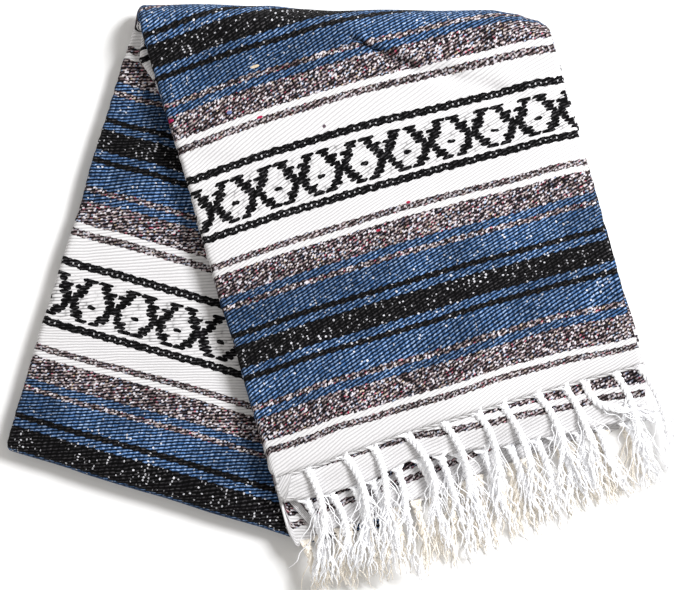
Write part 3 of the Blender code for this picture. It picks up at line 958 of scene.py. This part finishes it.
def cotton(name, colour, shaded):
    """Plied cotton yarn: a twist round each strand, and fine fibres, with painted shade in the twist's
    grooves and a faint painted glow.
    """
    n = Nodes(name)
    _, around, along = n.uv("yarn")
    turn = around * 2.0 + along * 420.0
    twist = n.size(n.math("SINE", turn * math.pi))
    fibre = n.noise(n.vector(around * 6.0, along * 300.0), 3.0, 3.0)
    height = twist * 0.8 + fibre * 0.6
    patch = n.noise(n.out(n.add("ShaderNodeTexCoord"), "Object"), 30.0)
    # Painted shade: the shaded colour in the twist's grooves; then darker towards it in broad patches at
    # random
    base = n.mix(n.range(height, 0.15, 0.95), (*shaded, 1.0), (*colour, 1.0))
    base = n.mix(patch * 0.35, base, (*shaded, 1.0))
    # Painted light: a faint glow in the yarn's own colour brightens the fringe in its own shade
    constants = {
        "Roughness": 0.9, "Specular IOR Level": 0.15, "Sheen Weight": 0.2, "Sheen Roughness": 0.5,
        "Emission Color": (*colour, 1.0), "Emission Strength": 0.09,
    }
    return n.finish(base, height, 0.6, 0.0004, constants)


class Yarns:
    """Many round yarns gathered into one mesh."""

    def __init__(self):
        self.verts = []
        self.faces = []
        self.uvs = []

    def add(self, points, radii, sides=5):
        first = len(self.verts)
        normal = Vector((0.0, 0.0, 1.0))
        length = 0.0
        for i, point in enumerate(points):
            before = points[max(0, i - 1)]
            after = points[min(len(points) - 1, i + 1)]
            along = (after - before).normalized()
            normal = (normal - along * normal.dot(along)).normalized()
            other = along.cross(normal)
            if i:
                length += (point - before).length
            for k in range(sides):
                angle = 2 * math.pi * k / sides
                spot = point + radii[i] * (math.cos(angle) * normal + math.sin(angle) * other)
                spot.z = max(spot.z, 0.0003)
                self.verts.append(spot)
            if i:
                for k in range(sides):
                    k2 = (k + 1) % sides
                    a = first + (i - 1) * sides
                    b = first + i * sides
                    self.faces.append((a + k, a + k2, b + k2, b + k))
                    low, high = (length - (point - before).length), length
                    ring = k / sides, (k + 1) / sides
                    self.uvs += [(ring[0], low), (ring[1], low), (ring[1], high), (ring[0], high)]
        for start, order in ((first, range(sides)[::-1]), (first + (len(points) - 1) * sides, range(sides))):
            self.faces.append(tuple(start + k for k in order))
            self.uvs += [(0.0, 0.0)] * sides

    def build(self, name):
        return add_mesh(name, self.verts, self.faces, "yarn", self.uvs)


UP = Vector((0.0, 0.0, 1.0))
# A lock's path, in steps of a fixed length
STEP = 0.001
STEPS = 130
# The knot's place, its wraps' radius, and the radii of the rope, of each cord in it and of each yarn
KNOT = 0.0085
WRAP_RADIUS = 0.0031
ROPE_RADIUS = 0.00195
CORD_RADIUS = 0.00085
YARN_RADIUS = 0.00112
WRAP_YARN_RADIUS = 0.00105
FIBRE_RADII = [0.00046] * 12 + [0.00040, 0.00034, 0.00028, 0.00022, 0.00016]
# Height of a lock's middle above what it lies on
LOCK_HEIGHT = 0.0016
# How far apart a lock's yarns leave the cloth, and over what length the rope comes loose
SPACING = 0.0052
UNTWIST = 0.030
LONGEST = 0.108
# The lock blown aside: its angles at the root and past it, and where it turns from one to the other
BLOWN_SWINGS = (math.radians(-6), math.radians(66), 0.045)


def height_below(w, t, u, v, start_g, rest_g):
    """Height of what a fringe lies on, past the end that it is knotted into."""
    fall = smooth((v - end_of(MIDDLE, u) - 0.004) / FALL)
    return ground(w, t, v) + start_g + (rest_g - start_g) * fall


class Path:
    """The line that a lock lies along, from its root in the cloth's end, swinging to another angle."""

    def __init__(self, column, u, swings, heights, lean, phase):
        self.root_u, self.root_v = u, end_of(column, u) - 0.003
        self.heights, self.lean, self.phase = heights, lean, phase
        first_swing, last_swing, turn_over = swings
        self.trail = [(0.0, 0.0)]
        for i in range(STEPS):
            swing = first_swing + (last_swing - first_swing) * smooth(i * STEP / turn_over)
            side, ahead = self.trail[-1]
            self.trail.append((side + STEP * math.sin(swing), ahead + STEP * math.cos(swing)))

    def at(self, s):
        step = min(int(s / STEP), STEPS - 1)
        share = s / STEP - step
        side, ahead = (a + (b - a) * share for a, b in zip(self.trail[step], self.trail[step + 1]))
        v = self.root_v + ahead
        u = self.root_u + side + self.lean * math.sin(s * 60 + self.phase)
        w, t = on_leg(u, v)
        return on_surface(w, t, height_below(w, t, u, v, *self.heights))

    def axes(self, s):
        """The place at a length along the path, the way ahead and the way to its side."""
        here = self.at(s)
        ahead = (self.at(s + STEP) - here).normalized()
        return here, ahead, -ahead.cross(UP).normalized()


def yarn_of_lock(chance, path, rope, reach, turn_start, pitch, cord, cords, ply):
    """(points, radii) of one yarn: gathered into the knot, twisted in the rope, then loose."""
    length = reach * chance.uniform(0.80, 1.0)
    count = max(10, int(length / 0.0021))
    splay = chance.uniform(-1, 1)
    rise = chance.uniform(-0.4, 1.0)
    wave = chance.uniform(0.0006, 0.0017)
    waves = chance.uniform(160, 340)
    start = chance.uniform(0, 6.28)
    origin = (cord + ply / 3 - (cords - 1) / 2 - 0.33) * SPACING
    points = []
    radii = []
    for i in range(count + 1):
        s = length * i / count
        here, ahead, side = path.axes(s)
        up = ahead.cross(side).normalized()
        up = up if up.z > 0 else -up
        gathered = smooth(s / KNOT)
        turn = 2 * math.pi * s / pitch + turn_start + cord * 2 * math.pi / cords
        inner = 2 * math.pi * s / (pitch * 0.45) + ply * 2.09
        untwist = smooth((s - rope) / UNTWIST)
        big = ROPE_RADIUS * gathered * (1 - 0.75 * untwist)
        small = CORD_RADIUS * gathered * (1 - 0.6 * untwist)
        past = max(0.0, s - rope)
        x = big * math.cos(turn) + small * math.cos(inner) + origin * (1 - gathered)
        x += untwist * (splay * past * 0.30 + wave * math.sin(waves * past + start))
        z = big * math.sin(turn) + small * math.sin(inner)
        z += untwist * (0.0012 * rise + 0.5 * wave * math.sin(waves * 0.8 * past + start + 1))
        z += 0.00096 * bell(s - KNOT, 0.0030)
        points.append(here + side * x + up * (z + LOCK_HEIGHT))
        radii.append(YARN_RADIUS * (1 - 0.30 * untwist - 0.35 * smooth((s - length + 0.012) / 0.012)))
    return points, radii


def wrap_of_knot(path, wrap):
    """Points of one of the two turns of yarn about the knot."""
    points = []
    for i in range(19):
        share = i / 18
        turn = 2 * math.pi * share * 1.15 + wrap * 0.8
        here, _, side = path.axes(KNOT - 0.0018 + 0.0036 * share + (0.0010 if wrap else -0.0010))
        across = WRAP_RADIUS * math.cos(turn)
        points.append(here - side * across + UP * (LOCK_HEIGHT + 0.0026 * math.sin(turn)))
    return points


def stray_fibre(chance, path, rope, reach):
    """Points of a fine fibre that strays from the frayed end."""
    begin = rope * chance.uniform(0.55, 1.05)
    length = min(reach * 1.04, begin + chance.uniform(0.018, 0.050))
    splay = chance.uniform(-1, 1)
    wave = chance.uniform(0.0006, 0.0024)
    waves = chance.uniform(120, 420)
    start = chance.uniform(0, 6.28)
    points = []
    for i in range(len(FIBRE_RADII)):
        s = begin + (length - begin) * i / (len(FIBRE_RADII) - 1)
        past = s - begin
        here, _, side = path.axes(s)
        x = splay * past * 0.65 + wave * math.sin(waves * past + start) * smooth(past / 0.01)
        z = 0.0022 + 0.0030 * math.sin(start + past * 60) * smooth(past / 0.02)
        points.append(here + side * x + UP * max(0.0005, z))
    return points


def lock(yarns, chance, column, u, swings, heights, rope, reach, cords, loose):
    """One knotted lock: ends gathered from the cloth, a knot, a twisted rope, then loose yarns."""
    pitch = chance.uniform(0.013, 0.017)
    lean = chance.uniform(-0.0016, 0.0016)
    phase = chance.uniform(0, 6.28)
    path = Path(column, u, swings, heights, lean, phase)
    for cord in range(cords):
        for ply in range(3):
            yarns.add(*yarn_of_lock(chance, path, rope, reach, phase, pitch, cord, cords, ply))
    for wrap in range(2):
        points = wrap_of_knot(path, wrap)
        yarns.add(points, [WRAP_YARN_RADIUS] * len(points), 6)
    for _ in range(loose):
        yarns.add(stray_fibre(chance, path, rope, reach), FIBRE_RADII, 4)


def fringe(name, column, places, material, heights, lean, seed, rope, cords, loose, blown=None):
    """The locks of one end of the cloth; the one at the blown place swings far to the right."""
    chance = random.Random(seed)
    yarns = Yarns()
    for u in places:
        first = math.radians(lean + chance.uniform(-7, 7))
        last = math.radians(-19 + 22 * u / STRIP + chance.uniform(-7, 7))
        reach = (end_of(FRINGE, u) - end_of(column, u) + 0.003) * chance.uniform(0.88, 1.0) / math.cos(last)
        swings = (first, last, chance.uniform(0.045, 0.075))
        if u == blown:
            swings = BLOWN_SWINGS
        length = rope * chance.uniform(0.85, 1.2)
        lock(yarns, chance, column, u, swings, heights, length, min(reach, LONGEST), cords, loose)
    obj = yarns.build(name)
    obj.data.materials.append(material)
    return obj


# Points across the four plies of each half, then rows along each stretch
outer = cloth("blanket_outer", True, (118, 26, 56, 12), (150, 15, 6))
inner = cloth("blanket_inner", False, (112, 18, 14, 12), (16, 30, 7, 118, 11, 6))
cloth_material = woven()
for half in (outer, inner):
    half.data.materials.append(cloth_material)

white_yarn = cotton("fringe_white", (0.93, 0.93, 0.945), (0.85, 0.86, 0.895))
# The lowest fringe's yarn: the same white cotton with painted shade, warmer and darker, as it lies under the
# fringes above
white_yarn_in_painted_shade = cotton("fringe_white_painted_shade", (0.90, 0.86, 0.79), (0.78, 0.70, 0.59))
TOP_PLACES = [0.0316, 0.0636, 0.0904, 0.1207, 0.1545, 0.1830, 0.2073, 0.2393, 0.2636, 0.2851, 0.3100, 0.3310]
spread = random.Random(17)
mid_places = [0.022 + i * 0.0204 + spread.uniform(-0.004, 0.004) for i in range(15)]
low_places = [0.010 + i * 0.0148 + spread.uniform(-0.003, 0.003) for i in range(21)]
top_fringe = fringe(
    "fringe_knots_top", UPPER, TOP_PLACES, white_yarn, heights=(6.0 * PLY, 0.0105), lean=20, seed=21,
    rope=0.043, cords=3, loose=10, blown=TOP_PLACES[-3],
)
middle_fringe = fringe(
    "fringe_knots_middle", MIDDLE, mid_places, white_yarn, heights=(3.4 * PLY, 0.0060), lean=8, seed=22,
    rope=0.030, cords=3, loose=10,
)
low_fringe = fringe(
    "fringe_knots_lower", LOWER, low_places, white_yarn_in_painted_shade, heights=(0.0012, 0.0012), lean=-6, seed=23,
    rope=0.018, cords=2, loose=9,
)

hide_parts("cloth_front", "hidden_layers", "end_middle")
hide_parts("cloth_back", "end_lower")
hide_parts("fringe_top")
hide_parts("fringe_middle")
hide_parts("fringe_lower")
for piece in (outer, inner):
    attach(piece, "root")
for piece in (top_fringe, middle_fringe, low_fringe):
    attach(piece, "root")

# Surface, light and camera
bpy.ops.mesh.primitive_plane_add(size=14, location=(0, 0, -0.0002))
floor = bpy.context.object
floor.name = "floor"
paper = Nodes("pale_paper")
grain = paper.noise(paper.out(paper.add("ShaderNodeTexCoord"), "Object"), 40.0, 4.0)
tint = paper.mix(grain, (0.915, 0.915, 0.915, 1.0), (0.935, 0.935, 0.935, 1.0))
paper.plug(paper.shader.inputs["Base Color"], tint)
paper.shader.inputs["Roughness"].default_value = 0.85
floor.data.materials.append(paper.material)

world = bpy.data.worlds.new("studio")
bpy.context.scene.world = world
world.use_nodes = True
world.node_tree.nodes["Background"].inputs["Color"].default_value = (1.0, 0.965, 0.915, 1.0)
world.node_tree.nodes["Background"].inputs["Strength"].default_value = 0.47


def area_light(name, location, size, power, colour):
    """A square lamp that points at the origin."""
    data = bpy.data.lights.new(name, "AREA")
    data.shape = "SQUARE"
    data.size = size
    data.energy = power
    data.color = colour
    lamp = bpy.data.objects.new(name, data)
    bpy.context.scene.collection.objects.link(lamp)
    lamp.location = location
    lamp.rotation_euler = (-Vector(location)).to_track_quat("-Z", "Y").to_euler()


area_light("key", (1.40, 1.05, 1.85), 0.8, 92, (0.985, 0.990, 1.0))
area_light("fill", (-1.2, -0.9, 2.3), 1.8, 5, (0.95, 0.97, 1.0))

camera_data = bpy.data.cameras.new("camera")
camera = bpy.data.objects.new("camera", camera_data)
bpy.context.scene.collection.objects.link(camera)
camera_data.lens = 150
camera_data.sensor_width = 36
# The frame's width on the surface of the cloth, and that surface's height
FRAME_WIDTH = 0.5876
FRAMED_AT = 0.030
camera_height = FRAME_WIDTH * camera_data.lens / camera_data.sensor_width + FRAMED_AT
camera.location = (-0.0023, 0.0067, camera_height)
camera.rotation_euler = (0, 0, 0)
bpy.context.scene.camera = camera
bpy.context.scene.view_settings.view_transform = "Standard"
bpy.context.scene.view_settings.look = "None"
